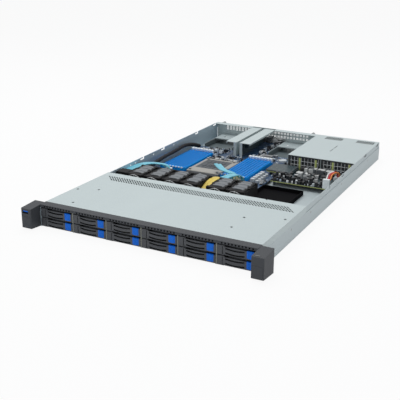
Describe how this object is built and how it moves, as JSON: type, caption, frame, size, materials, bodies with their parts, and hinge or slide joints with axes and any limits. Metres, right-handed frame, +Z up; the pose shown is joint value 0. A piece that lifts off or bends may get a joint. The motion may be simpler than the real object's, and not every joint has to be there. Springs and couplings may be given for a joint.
{
  "type": "1u rack server",
  "caption": "Flat one-unit rack server with two rows of front drive carriers, a front cover, open rear half with boards, fans and twin power supplies.",
  "frame": {"origin": "under the middle of the whole object, on the plane of its underside", "axes": "+X to the right seen from the front, +Y from the drive bays to the rear, +Z up"},
  "size_m": [0.4826, 0.787, 0.0435],
  "materials": {
    "zinc_steel": "zinc-coated sheet steel, satin",
    "dark_paint": "fine matt paint",
    "key_grey": "satin moulded key",
    "carrier_grey": "fine matt moulding",
    "catch_blue": "satin blue moulding",
    "fan_black": "matt glass-filled plastic",
    "board_blue": "solder mask",
    "board_green": "solder mask with pale edge",
    "component_mix": "mixed connectors and parts",
    "socket_steel": "plain steel frame",
    "socket_blue": "blue moulded sockets",
    "latch_white": "white moulded latches",
    "tray_black": "matt moulding",
    "cable_black": "cable jacket",
    "cable_red": "cable jacket",
    "screw_bronze": "passivated screws",
    "supply_steel": "zinc-coated sheet steel",
    "tab_green": "moulded release tab"
  },
  "bodies": {
    "root": {"chassis_pan": "zinc_steel", "front_frame": "dark_paint", "front_cover": "zinc_steel", "drive_cage": "zinc_steel", "drive_backplane": "board_green", "left_ear": "dark_paint", "right_ear": "dark_paint", "fan_housings": "fan_black", "motherboard": "board_blue", "board_components": "component_mix", "cpu_socket": "socket_steel", "dimm_sockets": "socket_blue", "power_board": "board_green", "cable_tray": "tray_black", "riser_brackets": "zinc_steel", "riser_cards": "board_green", "ocp_trays": "zinc_steel", "rear_panel": "zinc_steel", "psu_cage": "zinc_steel", "front_panel_cables": "cable_black", "power_cables": "cable_red", "screws": "screw_bronze"},
    "drive_carrier_01": {"drive_carrier_01": "carrier_grey"},
    "drive_carrier_02": {"drive_carrier_02": "carrier_grey"},
    "drive_carrier_03": {"drive_carrier_03": "carrier_grey"},
    "drive_carrier_04": {"drive_carrier_04": "carrier_grey"},
    "drive_carrier_05": {"drive_carrier_05": "carrier_grey"},
    "drive_carrier_06": {"drive_carrier_06": "carrier_grey"},
    "drive_carrier_07": {"drive_carrier_07": "carrier_grey"},
    "drive_carrier_08": {"drive_carrier_08": "carrier_grey"},
    "drive_carrier_09": {"drive_carrier_09": "carrier_grey"},
    "drive_carrier_10": {"drive_carrier_10": "carrier_grey"},
    "drive_carrier_11": {"drive_carrier_11": "carrier_grey"},
    "drive_carrier_12": {"drive_carrier_12": "carrier_grey"},
    "carrier_lever_01": {"carrier_lever_01": "carrier_grey"},
    "carrier_lever_02": {"carrier_lever_02": "carrier_grey"},
    "carrier_lever_03": {"carrier_lever_03": "carrier_grey"},
    "carrier_lever_04": {"carrier_lever_04": "carrier_grey"},
    "carrier_lever_05": {"carrier_lever_05": "carrier_grey"},
    "carrier_lever_06": {"carrier_lever_06": "carrier_grey"},
    "carrier_lever_07": {"carrier_lever_07": "carrier_grey"},
    "carrier_lever_08": {"carrier_lever_08": "carrier_grey"},
    "carrier_lever_09": {"carrier_lever_09": "carrier_grey"},
    "carrier_lever_10": {"carrier_lever_10": "carrier_grey"},
    "carrier_lever_11": {"carrier_lever_11": "carrier_grey"},
    "carrier_lever_12": {"carrier_lever_12": "carrier_grey"},
    "fan_rotor_1": {"fan_rotor_1": "fan_black"},
    "fan_rotor_2": {"fan_rotor_2": "fan_black"},
    "fan_rotor_3": {"fan_rotor_3": "fan_black"},
    "fan_rotor_4": {"fan_rotor_4": "fan_black"},
    "fan_rotor_5": {"fan_rotor_5": "fan_black"},
    "fan_rotor_6": {"fan_rotor_6": "fan_black"},
    "psu_1": {"psu_1": "supply_steel"},
    "psu_latch_1": {"psu_latch_1": "tab_green"},
    "psu_2": {"psu_2": "supply_steel"},
    "psu_latch_2": {"psu_latch_2": "tab_green"},
    "left_ear_flap": {"left_ear_flap": "dark_paint"},
    "right_ear_flap": {"right_ear_flap": "dark_paint"},
    "power_button": {"power_button": "key_grey"},
    "dimm_latches": {"dimm_latches": "latch_white"}
  },
  "joints": [
    {"name": "carrier_01_slide", "type": "slide", "parent": "root", "child": "drive_carrier_01", "axis": [0, -1, 0], "range_m": [0, 0.112]},
    {"name": "carrier_02_slide", "type": "slide", "parent": "root", "child": "drive_carrier_02", "axis": [0, -1, 0], "range_m": [0, 0.112]},
    {"name": "carrier_03_slide", "type": "slide", "parent": "root", "child": "drive_carrier_03", "axis": [0, -1, 0], "range_m": [0, 0.112]},
    {"name": "carrier_04_slide", "type": "slide", "parent": "root", "child": "drive_carrier_04", "axis": [0, -1, 0], "range_m": [0, 0.112]},
    {"name": "carrier_05_slide", "type": "slide", "parent": "root", "child": "drive_carrier_05", "axis": [0, -1, 0], "range_m": [0, 0.112]},
    {"name": "carrier_06_slide", "type": "slide", "parent": "root", "child": "drive_carrier_06", "axis": [0, -1, 0], "range_m": [0, 0.112]},
    {"name": "carrier_07_slide", "type": "slide", "parent": "root", "child": "drive_carrier_07", "axis": [0, -1, 0], "range_m": [0, 0.112]},
    {"name": "carrier_08_slide", "type": "slide", "parent": "root", "child": "drive_carrier_08", "axis": [0, -1, 0], "range_m": [0, 0.112]},
    {"name": "carrier_09_slide", "type": "slide", "parent": "root", "child": "drive_carrier_09", "axis": [0, -1, 0], "range_m": [0, 0.112]},
    {"name": "carrier_10_slide", "type": "slide", "parent": "root", "child": "drive_carrier_10", "axis": [0, -1, 0], "range_m": [0, 0.112]},
    {"name": "carrier_11_slide", "type": "slide", "parent": "root", "child": "drive_carrier_11", "axis": [0, -1, 0], "range_m": [0, 0.112]},
    {"name": "carrier_12_slide", "type": "slide", "parent": "root", "child": "drive_carrier_12", "axis": [0, -1, 0], "range_m": [0, 0.112]},
    {"name": "lever_01_hinge", "type": "hinge", "parent": "drive_carrier_01", "child": "carrier_lever_01", "pos_m": [-0.2052, -0.3645, 0.0282], "axis": [0, 0, -1], "range_deg": [0, 60]},
    {"name": "lever_02_hinge", "type": "hinge", "parent": "drive_carrier_02", "child": "carrier_lever_02", "pos_m": [-0.1326, -0.3645, 0.0282], "axis": [0, 0, -1], "range_deg": [0, 60]},
    {"name": "lever_03_hinge", "type": "hinge", "parent": "drive_carrier_03", "child": "carrier_lever_03", "pos_m": [-0.06, -0.3645, 0.0282], "axis": [0, 0, -1], "range_deg": [0, 60]},
    {"name": "lever_04_hinge", "type": "hinge", "parent": "drive_carrier_04", "child": "carrier_lever_04", "pos_m": [0.0126, -0.3645, 0.0282], "axis": [0, 0, -1], "range_deg": [0, 60]},
    {"name": "lever_05_hinge", "type": "hinge", "parent": "drive_carrier_05", "child": "carrier_lever_05", "pos_m": [0.0852, -0.3645, 0.0282], "axis": [0, 0, -1], "range_deg": [0, 60]},
    {"name": "lever_06_hinge", "type": "hinge", "parent": "drive_carrier_06", "child": "carrier_lever_06", "pos_m": [0.1578, -0.3645, 0.0282], "axis": [0, 0, -1], "range_deg": [0, 60]},
    {"name": "lever_07_hinge", "type": "hinge", "parent": "drive_carrier_07", "child": "carrier_lever_07", "pos_m": [-0.2052, -0.3645, 0.0096], "axis": [0, 0, -1], "range_deg": [0, 60]},
    {"name": "lever_08_hinge", "type": "hinge", "parent": "drive_carrier_08", "child": "carrier_lever_08", "pos_m": [-0.1326, -0.3645, 0.0096], "axis": [0, 0, -1], "range_deg": [0, 60]},
    {"name": "lever_09_hinge", "type": "hinge", "parent": "drive_carrier_09", "child": "carrier_lever_09", "pos_m": [-0.06, -0.3645, 0.0096], "axis": [0, 0, -1], "range_deg": [0, 60]},
    {"name": "lever_10_hinge", "type": "hinge", "parent": "drive_carrier_10", "child": "carrier_lever_10", "pos_m": [0.0126, -0.3645, 0.0096], "axis": [0, 0, -1], "range_deg": [0, 60]},
    {"name": "lever_11_hinge", "type": "hinge", "parent": "drive_carrier_11", "child": "carrier_lever_11", "pos_m": [0.0852, -0.3645, 0.0096], "axis": [0, 0, -1], "range_deg": [0, 60]},
    {"name": "lever_12_hinge", "type": "hinge", "parent": "drive_carrier_12", "child": "carrier_lever_12", "pos_m": [0.1578, -0.3645, 0.0096], "axis": [0, 0, -1], "range_deg": [0, 60]},
    {"name": "fan_1_spin", "type": "hinge", "parent": "root", "child": "fan_rotor_1", "pos_m": [-0.168, -0.0905, 0.0216], "axis": [0, 1, 0], "continuous": true},
    {"name": "fan_2_spin", "type": "hinge", "parent": "root", "child": "fan_rotor_2", "pos_m": [-0.125, -0.0905, 0.0216], "axis": [0, 1, 0], "continuous": true},
    {"name": "fan_3_spin", "type": "hinge", "parent": "root", "child": "fan_rotor_3", "pos_m": [-0.082, -0.0905, 0.0216], "axis": [0, 1, 0], "continuous": true},
    {"name": "fan_4_spin", "type": "hinge", "parent": "root", "child": "fan_rotor_4", "pos_m": [-0.039, -0.0905, 0.0216], "axis": [0, 1, 0], "continuous": true},
    {"name": "fan_5_spin", "type": "hinge", "parent": "root", "child": "fan_rotor_5", "pos_m": [0.0208, -0.0905, 0.0216], "axis": [0, 1, 0], "continuous": true},
    {"name": "fan_6_spin", "type": "hinge", "parent": "root", "child": "fan_rotor_6", "pos_m": [0.0638, -0.0905, 0.0216], "axis": [0, 1, 0], "continuous": true},
    {"name": "psu_1_slide", "type": "slide", "parent": "root", "child": "psu_1", "axis": [0, 1, 0], "range_m": [0, 0.2]},
    {"name": "psu_latch_1_press", "type": "slide", "parent": "psu_1", "child": "psu_latch_1", "axis": [1, 0, 0], "range_m": [0, 0.003], "stiffness_N_per_m": 300},
    {"name": "psu_2_slide", "type": "slide", "parent": "root", "child": "psu_2", "axis": [0, 1, 0], "range_m": [0, 0.2]},
    {"name": "psu_latch_2_press", "type": "slide", "parent": "psu_2", "child": "psu_latch_2", "axis": [1, 0, 0], "range_m": [0, 0.003], "stiffness_N_per_m": 300},
    {"name": "left_flap_hinge", "type": "hinge", "parent": "root", "child": "left_ear_flap", "pos_m": [-0.23015, -0.389, 0.0076], "axis": [1, 0, 0], "range_deg": [0, 90]},
    {"name": "right_flap_hinge", "type": "hinge", "parent": "root", "child": "right_ear_flap", "pos_m": [0.23015, -0.389, 0.0076], "axis": [1, 0, 0], "range_deg": [0, 90]},
    {"name": "power_button_press", "type": "slide", "parent": "root", "child": "power_button", "axis": [0, 0, -1], "range_m": [0, 0.001], "stiffness_N_per_m": 400},
    {"name": "dimm_latches_tilt", "type": "hinge", "parent": "root", "child": "dimm_latches", "pos_m": [-0.08675, 0.1775, 0.0107], "axis": [-1, 0, 0], "range_deg": [0, 30]}
  ]
}
